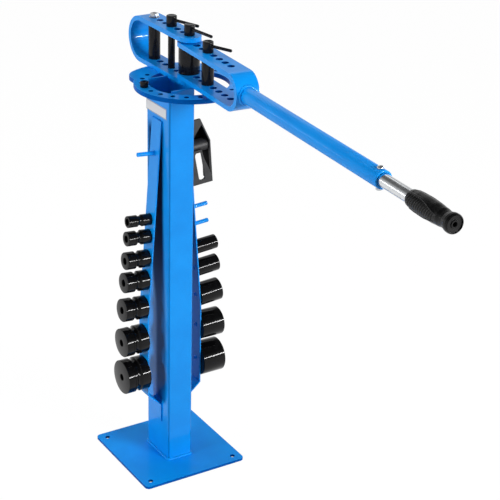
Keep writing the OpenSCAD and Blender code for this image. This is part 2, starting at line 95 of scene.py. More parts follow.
print("camera distance to the head", round((camera.location - Vector((0, 0, 0.9))).length, 2), "m")

# %% [markdown]
# ## Shader maths in Python
# A material is a graph of nodes. Writing each sum as a node by hand is slow, so one small
# class wraps a socket and lets ordinary Python signs add the Math nodes. Any other node
# comes from one method that takes its type, its settings and its inputs.

# %% The socket class and the shader helper
class Value:
    """A number that flows through a shader."""

    def __init__(self, shader, socket):
        self.shader, self.socket = shader, socket

    def _math(self, operation, a, b):
        return self.shader.node("ShaderNodeMath", {"operation": operation}, {0: a, 1: b})

    def __add__(self, other):
        return self._math("ADD", self, other)

    def __radd__(self, other):
        return self._math("ADD", other, self)

    def __sub__(self, other):
        return self._math("SUBTRACT", self, other)

    def __rsub__(self, other):
        return self._math("SUBTRACT", other, self)

    def __mul__(self, other):
        return self._math("MULTIPLY", self, other)

    def __rmul__(self, other):
        return self._math("MULTIPLY", other, self)

    def __truediv__(self, other):
        return self._math("DIVIDE", self, other)

    def __gt__(self, other):
        return self._math("GREATER_THAN", self, other)

    def __lt__(self, other):
        return self._math("LESS_THAN", self, other)

    def __pow__(self, other):
        return self._math("POWER", self, other)

    def size(self):
        return self._math("ABSOLUTE", self, 0.0)

    def step(self, low, high):
        """0 below low, 1 above high, smooth between them."""
        return self.shader.node("ShaderNodeMapRange", {"interpolation_type": "SMOOTHSTEP"},
                                {"Value": self, "From Min": low, "From Max": high})


class Shader:
    """A new material whose nodes are added by name."""

    def __init__(self, name):
        self.material = bpy.data.materials.new(name)
        self.material.use_nodes = True
        self.tree = self.material.node_tree
        self.surface = self.tree.nodes["Principled BSDF"]

    def node(self, kind, settings=None, inputs=None, output=0):
        made = self.tree.nodes.new(kind)
        for key, value in (settings or {}).items():
            setattr(made, key, value)
        for key, value in (inputs or {}).items():
            self.feed(made.inputs[key], value)
        return Value(self, made.outputs[output])

    def feed(self, socket, value):
        if isinstance(value, Value):
            self.tree.links.new(value.socket, socket)
        else:
            socket.default_value = value

    def set(self, **inputs):
        for key, value in inputs.items():
            self.feed(self.surface.inputs[key.replace("_", " ")], value)

    def place(self):
        """The point on the piece in millimetres, from its Object coordinates."""
        where = self.node("ShaderNodeTexCoord", output="Object")
        return self.node("ShaderNodeMapping", {}, {0: where, "Scale": (1000, 1000, 1000)})

    def split(self, point):
        """The x, y and z of a point."""
        parts = self.node("ShaderNodeSeparateXYZ", {}, {0: point}).socket.node.outputs
        return [Value(self, part) for part in parts]

    def noise(self, point, scale, detail=3.0, rough=0.55):
        return self.node("ShaderNodeTexNoise", {}, {"Vector": point, "Scale": scale,
                                                     "Detail": detail, "Roughness": rough})

    def blend(self, factor, a, b):
        """A colour between a and b."""
        mix = self.tree.nodes.new("ShaderNodeMix")
        mix.data_type = "RGBA"
        for socket, value in ((mix.inputs[0], factor), (mix.inputs[6], a), (mix.inputs[7], b)):
            self.feed(socket, value)
        return Value(self, mix.outputs[2])

    def bump(self, height, depth_mm, strength=1.0):
        return self.node("ShaderNodeBump", {}, {"Height": height, "Distance": depth_mm * MM,
                                                 "Strength": strength})


def colour(*screen):
    """A screen colour, 0 to 255, as the light values that a shader takes."""
    shares = [v / 255 for v in screen]
    return [v / 12.92 if v < 0.0405 else ((v + 0.055) / 1.055) ** 2.4 for v in shares] + [1]


print("shader helper ready")

# %% [markdown]
# ## The room
# The photograph was taken in a bright white studio. A picture of a studio could light the
# scene, but numbers are easier to set one by one. Matt surfaces get a weak even light, and
# gloss reflects pale grey near the ground and dark overhead: bright metal needs both to
# look like metal. The camera sees that pale grey too, but only past the floor's edge, from
# low down. The rays are told apart by the Light Path node.

# %% Room
MATT_LIGHT = 0.24  # how bright the room is to matt surfaces
GLOSS_FADE = (0.2, 0.6, 1.0, 0.12)  # from and to height, and what gloss sees at each
world = bpy.data.worlds.new("room")
bpy.context.scene.world = world
world.use_nodes = True
room = world.node_tree
room_light = room.nodes["Background"]
room_light.inputs[0].default_value = (1, 1, 1, 1)
room_light.inputs[1].default_value = MATT_LIGHT
direction = room.nodes.new("ShaderNodeTexCoord")
height = room.nodes.new("ShaderNodeSeparateXYZ")
fade = room.nodes.new("ShaderNodeMapRange")
for socket, number in zip(("From Min", "From Max", "To Min", "To Max"), GLOSS_FADE):
    fade.inputs[socket].default_value = number
room.links.new(direction.outputs["Generated"], height.inputs[0])
room.links.new(height.outputs[2], fade.inputs["Value"])
path = room.nodes.new("ShaderNodeLightPath")
strength = room.nodes.new("ShaderNodeMath")  # the camera sees pale grey at any height
strength.operation = "MAXIMUM"
room.links.new(fade.outputs[0], strength.inputs[0])
room.links.new(path.outputs["Is Camera Ray"], strength.inputs[1])
seen = room.nodes.new("ShaderNodeBackground")  # its own colour is the pale grey, 0.8
room.links.new(strength.outputs[0], seen.inputs[1])
seen_rays = ("Is Camera Ray", "Is Glossy Ray", "Is Transmission Ray")
total = path.outputs[seen_rays[0]]
for ray in seen_rays[1:]:
    either = room.nodes.new("ShaderNodeMath")
    either.operation, either.use_clamp = "ADD", True
    room.links.new(total, either.inputs[0])
    room.links.new(path.outputs[ray], either.inputs[1])
    total = either.outputs[0]
pick = room.nodes.new("ShaderNodeMixShader")
room.links.new(total, pick.inputs[0])
room.links.new(room_light.outputs[0], pick.inputs[1])
room.links.new(seen.outputs[0], pick.inputs[2])
room.links.new(pick.outputs[0], room.nodes["World Output"].inputs[0])
bpy.context.scene.view_settings.view_transform = "Standard"
print("room nodes", len(room.nodes))

# %% [markdown]
# ## The floor
# The ground of the photograph is white to its edges, with hardly any shadow. A white
# sheet would turn grey wherever the light falls off. So this one is a grey diffuse sheet
# that also glows for the camera and for reflections: it reads as white, and the stand
# still drops a faint shadow on it.

# %% Floor
FLOOR_GLOW, GLOW_SHARE = 1.06, 0.92
bpy.ops.object.select_all(action="DESELECT")
bpy.ops.mesh.primitive_plane_add(size=30, location=(0, 0, -0.5 * MM))
floor = bpy.context.object
floor.name = "floor"
ground = Shader("pale_floor")
ground.set(Base_Color=(0.42, 0.42, 0.42, 1), Roughness=0.85)
glow = ground.tree.nodes.new("ShaderNodeEmission")
glow.inputs[0].default_value = (1, 1, 1, 1)
glow.inputs[1].default_value = FLOOR_GLOW
rays = ground.node("ShaderNodeLightPath").socket.node.outputs
camera_ray, glossy_ray, through_ray = (Value(ground, rays[name]) for name in seen_rays)
mix = ground.tree.nodes.new("ShaderNodeMixShader")
ground.feed(mix.inputs[0], (camera_ray + glossy_ray + through_ray) * GLOW_SHARE)
ground.tree.links.new(ground.surface.outputs[0], mix.inputs[1])
ground.tree.links.new(glow.outputs[0], mix.inputs[2])
ground.tree.links.new(mix.outputs[0], ground.tree.nodes["Material Output"].inputs[0])
floor.data.materials.append(ground.material)
print("floor", round(floor.dimensions.x), "m wide")

# %% [markdown]
# ## The lamps
# Square lamps give the soft light. The one on the left is level with the stand, so the
# strips and the dies shade the column behind them. Bar lamps draw the thin bright lines
# along the dies, the bars and the handle, and two of them are behind the stand. One kind
# lights only matt surfaces and the other only gloss, so that a highlight can be placed
# without making the paint around it paler.

# %% Lamps
def lamp(name, at, aim, size, power, high=None):
    """A lamp that looks from one point to another. A square one is soft and lights matt
    surfaces only. One with a height of its own is a bright bar that only gloss reflects."""
    light = bpy.data.lights.new(name, "AREA")
    light.shape, light.size, light.size_y, light.energy = "RECTANGLE", size, high or size, power
    holder = bpy.data.objects.new(name, light)
    bpy.context.scene.collection.objects.link(holder)
    holder.location = at
    holder.rotation_euler = (Vector(aim) - Vector(at)).to_track_quat("-Z", "Y").to_euler()
    holder.visible_glossy, holder.visible_diffuse = high is not None, high is None


lamp("front_lamp", (1.3, -3.3, 1.8), (0, 0, 0.5), 1.2, 120)
lamp("left_lamp", (-3.6, -0.1, 1.0), (0, 0, 0.5), 1.0, 76)
lamp("top_lamp", (-0.2, 0.9, 3.4), (0, 0, 0.6), 1.8, 34)
lamp("long_lamp", (1.4, -2.6, 1.05), (0, 0, 0.4), 3.2, 150, 0.1)
lamp("back_lamp", (0.8, 2.4, 2.6), (0, 0, 0.8), 2.4, 8, 1.0)
lamp("edge_lamp", (3.0, 0.4, 1.2), (0, 0, 0.6), 0.14, 14, 2.0)
lamp("rear_lamp", (-2.6, 2.7, 1.25), (0, -0.5, 0.92), 1.2, 5, 0.2)

# %% [markdown]
# ## The blue enamel
# Sprayed gloss paint isn't perfectly flat: it has a faint orange peel, its sheen changes
# slowly, and a thin clear skin sits on top. A fine noise drives the bump, a wide one the
# roughness and a touch of the colour, and the coat gives the sharp highlight. The walls of
# the drilled holes and the column's sides behind the strips get painted shade: a dark, dull
# paint that stands in for the shade there. The holes get a paint of their own, and the
# column's fades into it. All of it is worked out from millimetres on the piece, so no
# picture has to be wrapped on.

# %% Blue enamel
def painted_shade_on_column(paint, point):
    """Painted shade: 1 where a strip shades the column's sides, and a part of it on the round
    corners as a painted dark reflection. The limits are in millimetres, up the column and from
    its back to its front."""
    x, y, z = paint.split(point)
    beside_strip = z.step(138, 152) * (1 - z.step(770, 800))
    front = (y - z.step(250, 650) * 14).step(-44, -28)
    low = 1 - z.step(350, 560)
    rear = (y + low * 34).step(32, 50)
    # A painted dark reflection along the round corners
    corner = x.size().step(26, 28) * y.size().step(46, 48) * 0.5
    flat_side = x.size() > 29.7
    return flat_side * front * (1 - rear) * beside_strip * (1 - low * 0.3) + corner


def enamel(name, base, deep, shaded=None, shaded_paint=None, coat=0.32, sheen=0.1):
    """Gloss paint between two tones. Where the mask of shaded() is 1, it turns to a given dark
    colour, rougher and without coat: painted shade.
    """
    paint = Shader(name)
    point = paint.place()
    wide = paint.noise(point, 0.013, 2)
    dust = paint.noise(point, 0.35, 4, 0.65)
    peel = paint.noise(point, 0.42, 2, 0.4)
    tone = (wide * 0.7 + dust * 0.3).step(0.35, 0.68)
    skin, rough = paint.blend(tone, deep, base), 0.30 + wide * 0.12
    if shaded:
        # Painted shade: the mask blends in the dark colour, roughens the paint and takes the coat
        # away
        mask = shaded(paint, point)
        skin, rough = paint.blend(mask, skin, shaded_paint), rough + mask * 0.4
        coat = coat - mask * coat
    paint.set(Base_Color=skin, Roughness=rough, Normal=paint.bump(peel, 0.02, 0.3),
              Coat_Weight=coat, Coat_Roughness=0.09, Specular_IOR_Level=sheen,
              Specular_Tint=(0.25, 0.65, 1, 1))
    return paint.material


blue = enamel("blue_enamel", colour(8, 148, 238), colour(6, 138, 228))
# Painted shade: a dark, dull blue for the walls of holes and the back of the left strip
shaded_bore_blue = enamel("blue_bore_painted_shade", colour(0, 64, 140), colour(0, 50, 118), coat=0, sheen=0.03)
# Painted shade: a darker, dull blue for the cut rims of the ring and the foot
shaded_rim_blue = enamel("blue_rim_painted_shade", colour(3, 96, 186), colour(2, 84, 168), coat=0, sheen=0.03)
inner_blue = enamel("blue_inner", colour(8, 150, 226), colour(6, 140, 214), coat=0.1, sheen=0.03)
# The column's enamel carries painted shade beside the strips and a painted dark reflection on its
# corners
column_blue_with_painted_shade = enamel("blue_column_painted_shade", colour(8, 148, 238), colour(6, 138, 228), painted_shade_on_column,
                     colour(0, 34, 84))
print("made", blue.name, shaded_bore_blue.name, column_blue_with_painted_shade.name)

# %% [markdown]
# ## Turned metal
# The dies and pins are turned on a lathe and then blackened, the bolts are zinc plated and
# the inner tube is bright. The tool leaves very fine rings, so the finish follows each
# piece's own axis. Every turned piece stores its shape before it is put in place as the
# attribute "lathe", and the rings read that. Real grooves would need millions of faces: at
# this size a bump of about a thousandth of a millimetre does it.

# %% Turned metal
def lathe_metal(name, dark, light, sheen, ring_mm=0.35, metallic=0.15):
    """Turned metal with fine rings. sheen is the roughness of its cleanest places."""
    steel = Shader(name)
    lathe = steel.node("ShaderNodeAttribute", {"attribute_name": "lathe"}, output="Vector")
    x, y, z = steel.split(lathe)
    radius = (x * x + y * y) ** 0.5
    rings = steel.node("ShaderNodeCombineXYZ", {}, {0: radius / ring_mm, 1: z / ring_mm})
    cut = steel.noise(rings, 1.0, 2, 0.5)
    stain = steel.noise(lathe, 0.09, 4, 0.6)
    rubbed = steel.noise(lathe, 0.5, 3, 0.6)
    tone = (stain * 0.6 + rubbed * 0.25 + cut * 0.15).step(0.36, 0.66)
    steel.set(Base_Color=steel.blend(tone, dark, light), Metallic=metallic,
              Specular_IOR_Level=0.22, Roughness=sheen + stain * 0.06,
              Normal=steel.bump(cut, 0.0015, 0.2))
    return steel.material


die_black = lathe_metal("blackened_die", colour(7, 7, 8), colour(15, 15, 17), 0.07)
pin_black = lathe_metal("blackened_pin", colour(10, 10, 12), colour(22, 22, 25), 0.1)
zinc = lathe_metal("zinc_plate", colour(176, 180, 184), colour(206, 209, 212), 0.2, metallic=1.0)
bright = lathe_metal("bright_tube", colour(206, 209, 212), colour(226, 228, 230), 0.15, 0.8, 1.0)
print("made", die_black.name, pin_black.name, zinc.name, bright.name)

# %% [markdown]
# ## Cast iron and rubber
# The slotted block is a rough casting under matt black paint: its skin is grainy at about
# a millimetre, and its inner faces get painted shade, darker and duller. The grip is moulded
# rubber with a finer grain and a soft sheen.

# %% Casting and rubber
def grainy(name, dark, light, grain_mm, depth_mm, rough, gloss=0.3):
    """A cast or moulded skin between two tones, with grains of one size."""
    skin = Shader(name)
    point = skin.place()
    grain = skin.noise(point, 1 / grain_mm, 4, 0.6)
    wide = skin.noise(point, 0.06, 3)
    skin.set(Base_Color=skin.blend((wide * 0.6 + grain * 0.4).step(0.35, 0.68), dark, light),
             Specular_IOR_Level=gloss, Roughness=rough + wide * 0.14,
             Normal=skin.bump(grain, depth_mm, 0.7))
    return skin.material


casting = grainy("black_casting", colour(30, 30, 32), colour(46, 46, 48), 1.1, 0.1, 0.4)
# Painted shade: near black for the block's inner faces
shaded_hollow_black = grainy("black_hollow_painted_shade", colour(5, 5, 6), colour(11, 11, 12), 1.1, 0.1, 0.7, 0.08)
rubber = grainy("grip_rubber", colour(6, 6, 7), colour(12, 12, 13), 0.6, 0.012, 0.24, 0.2)
print("made", casting.name, rubber.name)

# %% [markdown]
# ## Rounding the sheet and bar work
# Cut plate and bent bar have small broken edges that catch light. The CAD parts are sharp,
# so each one is copied, its loose triangles are merged, and a Bevel modifier rounds the
# edges by a real amount. The copy then stands for the CAD part.

# %% Helpers that dress a CAD part
def select_only(obj):
    bpy.ops.object.select_all(action="DESELECT")
    bpy.context.view_layer.objects.active = obj
    obj.select_set(True)


def apply_all(obj):
    select_only(obj)
    for modifier in list(obj.modifiers):
        bpy.ops.object.modifier_apply(modifier=modifier.name)


def settle(obj, body, *stands_for, slot=None, material=None):
    """Puts a finished piece on its body, in place of its CAD parts."""
    select_only(obj)
    bpy.ops.object.transform_apply(location=True, rotation=True, scale=True)
    if material:
        obj.data.materials.clear()
        obj.data.materials.append(material)
    if stands_for:
        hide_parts(*stands_for)
    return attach(obj, body)


def merged_copy(node, name):
    """A free copy of a CAD part, with its loose triangles joined to flat faces."""
    obj = nodes[node].copy()
    obj.data = nodes[node].data.copy()
    for key in [k for k in obj.keys() if k.startswith("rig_")]:
        del obj[key]
    obj.parent = None
    obj.name = name
    bpy.context.scene.collection.objects.link(obj)
    select_only(obj)
    bpy.ops.object.mode_set(mode="EDIT")
    bpy.ops.mesh.select_all(action="SELECT")
    bpy.ops.mesh.remove_doubles(threshold=0.00002)
    bpy.ops.mesh.dissolve_limited(angle_limit=math.radians(0.5))
    bpy.ops.object.mode_set(mode="OBJECT")
    return obj


def break_edges(obj, edge_mm):
    """Rounds the sharp edges and keeps the flat faces flat to the light."""
    select_only(obj)
    bpy.ops.object.shade_smooth()
    bevel = obj.modifiers.new("edge", "BEVEL")
    bevel.width, bevel.segments = edge_mm * MM, 2
    bevel.limit_method, bevel.angle_limit = "ANGLE", math.radians(35)
    bevel.use_clamp_overlap = True
    level = obj.modifiers.new("level", "WEIGHTED_NORMAL")
    level.weight, level.keep_sharp = 100, True
    apply_all(obj)
    return obj


def rounded(node, edge_mm, paint):
    """The CAD part with its edges broken, in its paint."""
    obj = break_edges(merged_copy(node, node + "_dressed"), edge_mm)
    return settle(obj, body_of_node[node], node, slot="blue_paint", material=paint)


def place(obj, where, node, slot, material):
    """Puts a piece made at the origin over its CAD part."""
    obj.matrix_world = where
    return settle(obj, body_of_node[node], node, slot=slot, material=material)


def repaint(obj, paint, wanted):
    """Gives one more paint to the faces that are wanted, and counts them."""
    obj.data.materials.append(paint)
    picked = [face for face in obj.data.polygons if wanted(face)]
    for face in picked:
        face.material_index = len(obj.data.materials) - 1
    return len(picked)


def darken_bores(obj, axes, radius_mm):
    """Gives the walls of upright holes at these (x, y) places the dark blue of painted shade."""
    def in_bore(face):
        near = min(math.hypot(face.center.x - x, face.center.y - y) for x, y in axes)
        return abs(face.normal.z) < 0.5 and near < (radius_mm + 0.3) * MM

    return repaint(obj, shaded_bore_blue, in_bore)


print("dressing helpers ready")

# %% [markdown]
# ## Places
# The pivot stands off the column, and the swing frame points to the front with a slight
# turn to the left. A hung die leans with its strip. These places repeat the CAD model's
# own numbers, so that each new piece lands on its CAD part.

# %% Places on the head, the arm and the rack
PIVOT = Matrix.Translation((0.0435, 0, 0))
ARM = PIVOT @ Matrix.Rotation(math.radians(176.4), 4, "Z")
HOLE_PITCH, HOLE_R = 25, 7.6  # the frames' holes
ARM_FIRST, ARM_PIN_Y = 34.5, 84.5
BACK_PIN_Y, ROLLER_Y = 75, 150
INDEX_COUNT, INDEX_R, INDEX_FIRST = 22, 98.5, -8  # the last in degrees
ANCHOR, ANCHOR_R = 105, 5.5
RING_TOP, DIE_Z, ROLLER_Z, ARM_AXIS_Z = 872.3, 892.6, 882.3, 920.8
PIN_Z, ARM_PIN_Z = 972.3, 959.6  # under the caps of the pull pins
STRIP = {-1: 35.5, 1: 38.5}  # how far the left and the right strip stand off the column
COLUMN_HALF, STRIP_THICK = 30, 3
STRIP_FOOT, STRIP_HIGH, STRIP_BEND = 92, 712, 355
PEG_SHARES = {-1: (0.896, 0.693, 0.639, 0.568, 0.497, 0.407, 0.302, 0.183),
              1: (0.896, 0.699, 0.642, 0.568, 0.497, 0.404, 0.298, 0.18)}


def mm(x, y, z):
    """A move in millimetres."""
    return Matrix.Translation((x * MM, y * MM, z * MM))


def along_arm(y):
    """A place on the arm whose +z runs along the handle."""
    return ARM @ mm(0, y, ARM_AXIS_Z) @ Matrix.Rotation(math.radians(-90), 4, "X")


def lean_of(side, z):
    """How far the strip of a side leans at a height, in radians."""
    upper = STRIP_FOOT + STRIP_HIGH - STRIP_BEND
    return math.atan((STRIP[side] - STRIP_THICK) / upper) if z > STRIP_BEND else 0


def outward(side, lean):
    """Turns +z to point away from the strip."""
    return Matrix.Rotation(side * (math.pi / 2 - lean), 4, "Y")


def on_rack(node):
    """The place of a hung die, from its CAD part: +z points away from the strip."""
    low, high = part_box(node)
    middle = (low + high) / 2
    side = 1 if middle.x > 0 else -1
    aim = outward(side, lean_of(side, middle.z / MM))
    return Matrix.Translation(middle) @ aim @ mm(0, 0, -DIE_LONG / 2)


def peg_root(side, share):
    """Where a peg leaves its strip."""
    z = STRIP_FOOT + share * STRIP_HIGH
    lean = lean_of(side, z)
    x = COLUMN_HALF + STRIP[side] + STRIP_THICK / 2 * (1 / math.cos(lean) - 1)
    return mm(side * (x - max(0, z - STRIP_BEND) * math.tan(lean)), 0, z) @ outward(side, lean)


leans = [round(math.degrees(lean_of(side, STRIP_BEND + 1)), 2) for side in (-1, 1)]
print("lean of the strips", leans, "degrees")

# %% [markdown]
# ## Foot, column, ring, bars and rack
# These are cut plate, box tube and bar bent to a U. They could be drawn again from boxes,
# but the CAD parts are exact, so they are only rounded. Thick plates have edges of about
# a millimetre, thin strip half of that.

# %% Dress the blue parts
dressed = {}
for node, edge in (("base_plate", 0.8), ("column", 0.5), ("index_ring", 0.8),
                   ("fixed_frame", 1.0), ("swing_frame", 1.0), ("rack_left", 0.5),
                   ("rack_right", 0.5), ("rack_pegs_left", 0.5), ("rack_pegs_right", 0.5)):
    dressed[node] = rounded(node, edge, column_blue_with_painted_shade if node == "column" else blue)
print("dressed", len(dressed), "blue parts")

# %% [markdown]
# ## Painted shade in the holes, on the rims and behind the strips
# The walls of the holes, the cut rims of the plates and the back of the left strip get a
# dark, dull paint: painted shade. The back of the right strip gets a copy of the enamel with
# less coat and sheen. A mask in the shader could find them, but faces can be picked by where
# they are and which way they look, and that leaves a crisp line, as on the real edges.

# %% Painted shade
for node, facing, shaded_paint in (("rack_left", 1, shaded_bore_blue), ("rack_right", -1, inner_blue)):
    repaint(dressed[node], shaded_paint, lambda face: face.normal.x * facing > 0.7)


def plan_places(base, places):
    """Where upright holes are, from places in millimetres on the pivot or the arm."""
    return [(base @ mm(x, y, 0)).translation.xy for x, y in places]


pin_holes = plan_places(PIVOT, [(0, HOLE_PITCH * k) for k in range(6)])
arm_holes = plan_places(ARM, [(0, 0)] + [(0, ARM_FIRST + HOLE_PITCH * k) for k in range(7)])
index_turns = [math.radians(INDEX_FIRST + 360 / INDEX_COUNT * k) for k in range(INDEX_COUNT)]
index_holes = plan_places(PIVOT, [(INDEX_R * math.cos(a), INDEX_R * math.sin(a))
                                  for a in index_turns])
anchors = plan_places(Matrix(), [(x, y) for x in (-ANCHOR, ANCHOR) for y in (-ANCHOR, ANCHOR)])
print("bore faces", darken_bores(dressed["fixed_frame"], pin_holes, HOLE_R),
      darken_bores(dressed["swing_frame"], arm_holes, HOLE_R),
      darken_bores(dressed["index_ring"], index_holes + pin_holes[4:], HOLE_R),
      darken_bores(dressed["base_plate"], anchors, ANCHOR_R))
# The cut rims of the ring and the foot get painted shade
for node in ("index_ring", "base_plate"):
    repaint(dressed[node], shaded_rim_blue,
            lambda face: abs(face.normal.z) < 0.5 and face.material_index == 0)

# %% [markdown]
# ## Turned pieces
# A die, a pin or a roller is a lathe job: one outline, swept round an axis. The outline
# is drawn by extruding a single point along it, and the Spin tool sweeps it. Before it
# is put in place, the piece stores its own coordinates for the lathe rings.

# %% The lathe
def turned(name, outline, steps=72):
    """Sweeps an outline of (radius, height) pairs in millimetres round the z axis."""
    bpy.ops.object.select_all(action="DESELECT")
    bpy.ops.mesh.primitive_plane_add(size=MM)
    obj = bpy.context.object
    obj.name = name
    bpy.ops.object.mode_set(mode="EDIT")
    bpy.ops.mesh.merge(type="CENTER")
    bpy.ops.transform.translate(value=(outline[0][0] * MM, 0, outline[0][1] * MM))
    for (r0, z0), (r1, z1) in zip(outline, outline[1:]):
        bpy.ops.mesh.extrude_region_move(
            TRANSFORM_OT_translate={"value": ((r1 - r0) * MM, 0, (z1 - z0) * MM)})
    bpy.ops.mesh.select_all(action="SELECT")
    bpy.ops.mesh.spin(steps=steps, angle=math.tau, center=(0, 0, 0), axis=(0, 0, 1))
    bpy.ops.mesh.select_all(action="SELECT")
    bpy.ops.mesh.remove_doubles(threshold=0.000005)
    bpy.ops.mesh.normals_make_consistent(inside=False)
    bpy.ops.object.mode_set(mode="OBJECT")
    bpy.ops.object.shade_smooth_by_angle(angle=math.radians(28))
    return keep_lathe(obj)


def keep_lathe(obj):
    """Stores where each point is before the piece is put in place, in millimetres."""
    if "lathe" in obj.data.attributes:
        obj.data.attributes.remove(obj.data.attributes["lathe"])
    store = obj.data.attributes.new("lathe", "FLOAT_VECTOR", "POINT")
    for vertex, cell in zip(obj.data.vertices, store.data):
        cell.vector = vertex.co * 1000
    return obj


def cut_with(obj, other, operation, smooth_deg=25):
    """Takes a second solid from the piece, or keeps what both share."""
    step = obj.modifiers.new("cut", "BOOLEAN")
    step.operation, step.object, step.solver = operation, other, "EXACT"
    apply_all(obj)
    bpy.data.objects.remove(other)
    select_only(obj)
    bpy.ops.object.shade_smooth_by_angle(angle=math.radians(smooth_deg))
    return keep_lathe(obj)


def cylinder(radius, depth, at, turn=(0, 0, 0), sides=32):
    """A plain cylinder in millimetres, to cut with."""
    bpy.ops.mesh.primitive_cylinder_add(vertices=sides, radius=radius * MM, depth=depth * MM,
                                        location=Vector(at) * MM, rotation=turn)
    return bpy.context.object


def arc(centre_r, centre_z, radius, from_deg, to_deg, count=4):
    """Points of a round corner or groove in an outline, 0 degrees outward and 90 up."""
    turns = [math.radians(from_deg + (to_deg - from_deg) * i / count) for i in range(count + 1)]
    return [(centre_r + radius * math.cos(a), centre_z + radius * math.sin(a)) for a in turns]


print("lathe ready")

# %% [markdown]
# ## The dies
# A plain die is a ring with broken edges and a small countersink at each end of its bore.
# A grooved die has a round groove at mid length that holds the pipe, and a fine line turned
# near its outer end. Each size is its own lathe job, since the groove doesn't scale.

# %% Dies and rollers
BORE, GROOVE_R, DIE_LONG, DIE_EDGE = 7.58, 8, 54, 1.1
INCH = 25.4


def die_outline(radius, length, bore, groove_deep=0.0):
    """A die's outline: a broken edge, the groove if it has one, and a countersunk bore."""
    points = [(bore, 0.9), (bore + 0.9, 0)] + arc(radius - DIE_EDGE, DIE_EDGE, DIE_EDGE, -90, 0, 3)
    if groove_deep:
        reach = math.degrees(math.acos((GROOVE_R - groove_deep) / GROOVE_R))
        points += arc(radius - groove_deep + GROOVE_R, length / 2, GROOVE_R,
                      180 + reach, 180 - reach, 12)
        points += arc(radius + 0.1, length - 16, 0.7, 260, 100, 4)
    points += arc(radius - DIE_EDGE, length - DIE_EDGE, DIE_EDGE, 0, 90, 3)
    return points + [(bore + 0.9, length), (bore, length - 0.9), (bore, 0.9)]


for label, inches in (("25", 1), ("32", 1.25), ("38", 1.5), ("44", 1.75), ("51", 2), ("64", 2.5),
                      ("76", 3)):
    radius = inches * INCH / 2
    for node, deep in (("grooved_die_" + label, min(4, 0.5 * (radius - BORE))),
                       ("plain_die_" + label, 0)):
        if node in nodes:
            die = turned(node + "_turned", die_outline(radius, DIE_LONG, BORE, deep), 96)
            place(die, on_rack(node), node, "black_steel", die_black)

for node, inches, length, bore, where in (
        ("centre_die", 1.75, DIE_LONG, BORE, PIVOT @ mm(0, 0, DIE_Z)),
        ("arm_die", 1, DIE_LONG, BORE, ARM @ mm(0, ARM_PIN_Y, DIE_Z)),
        ("back_roller", 1, 79, 6.08, PIVOT @ mm(0, ROLLER_Y, ROLLER_Z))):
    die = turned(node + "_turned", die_outline(inches * INCH / 2, length, bore), 96)
    place(die, where, node, "black_steel", pin_black)

# %% [markdown]
# ## Pull pins and their levers
# Each pin is a shaft with a thick cap. A rod sticks out of the cap's side, and a hand turns
# and lifts the pin by it. The cap has a rounded rim and a cross hole for the rod. A lathe
# can't make that hole, so a cylinder cuts it.

# %% Pull pins
SHAFT_R, CAP_R, CAP_HIGH, LEVER_R, LEVER_Z = 7.5, 11.2, 22.9, 3.25, 14


def pull_pin(name, length, where, node):
    """A pin with its cap above z 0. The hole for the lever is on the +x side."""
    outline = [(0, -length)] + arc(SHAFT_R - 1.6, -length + 1.6, 1.6, -90, 0, 3)
    outline += [(SHAFT_R, -0.9), (SHAFT_R - 0.3, -0.4), (SHAFT_R - 0.3, 0), (CAP_R - 0.6, 0)]
    outline += arc(CAP_R - 0.6, 0.6, 0.6, -90, 0, 2)
    outline += arc(CAP_R - 2, CAP_HIGH - 2, 2.0, 0, 90, 6)
    outline += [(6.4, CAP_HIGH), (5.9, CAP_HIGH - 0.5), (0, CAP_HIGH - 0.7)]
    drill = cylinder(LEVER_R + 0.1, 15.7, (CAP_R, 0, LEVER_Z), (0, math.pi / 2, 0))
    pin = cut_with(turned(name, outline, 64), drill, "DIFFERENCE", 30)
    return place(pin, where, node, "black_steel", pin_black)


def side_lever(name, length, where, node):
    """The round ended rod that sticks out of a cap."""
    outline = [(0, -4.1), (2.6, -4.1), (LEVER_R, -3.4), (LEVER_R, length - LEVER_R)]
    outline += arc(0, length - LEVER_R, LEVER_R, 0, 90, 6)[1:]
    rod = turned(name, outline, 32)
    turn = mm(0, 0, LEVER_Z) @ Matrix.Rotation(math.pi / 2, 4, "Y")
    return place(rod, where @ turn, node, "black_steel", pin_black)


for node, where, length, reach, degrees in (
        ("pivot_pin", PIVOT @ mm(0, 0, PIN_Z), 104.3, 76, -83),
        ("back_pin", PIVOT @ mm(0, BACK_PIN_Y, PIN_Z), 104.3, 76, -72),
        ("arm_pin", ARM @ mm(0, ARM_PIN_Y, ARM_PIN_Z), 81.3, 60, 115)):
    faced = where @ Matrix.Rotation(math.radians(degrees), 4, "Z")
    pull_pin(node + "_dressed", length, faced, node)
    side_lever(node + "_lever_dressed", reach, faced, node + "_lever")

# %% [markdown]
# ## The stop pin
# A short pin drops into one of the ring's holes and stops the arm there. Its head is a
# cup: the outline simply goes over the rim and down inside, so one sweep makes it all.

# %% Stop pin
socket = [(0, -14.3)] + arc(3.9, -13.3, 1.0, -90, 0, 3) + [(4.92, 0), (7.7, 0)]
socket += arc(7.8, 0.7, 0.7, -90, 0, 2) + arc(7.3, 10.8, 1.2, 0, 90, 4)
socket += [(4.6, 12), (3.9, 11.4), (3.9, 5), (0, 4.4)]
stop_angle = Matrix.Rotation(math.radians(INDEX_FIRST + 180), 4, "Z")
stop = turned("stop_pin_dressed", socket, 48)
place(stop, PIVOT @ stop_angle @ mm(INDEX_R, 0, RING_TOP), "stop_pin", "black_steel", pin_black)

# %% [markdown]
# ## Bolts and nuts
# A hex nut is a six sided bar whose corners are turned off, so it is the overlap of a hex
# prism and a lathe shape. The roller's bolt has a round head with a hex socket.

# %% Nuts, washer and bolts
HEX_CORNER = 1 / math.cos(math.pi / 6)  # a hexagon's corners, as a share of its flats
NUT_Z, WASHER_Z, HEAD_Z = 863, 972, 974  # on the roller's bolt
CROSS_Y, CROSS_NUT_Z = 723, -21.8


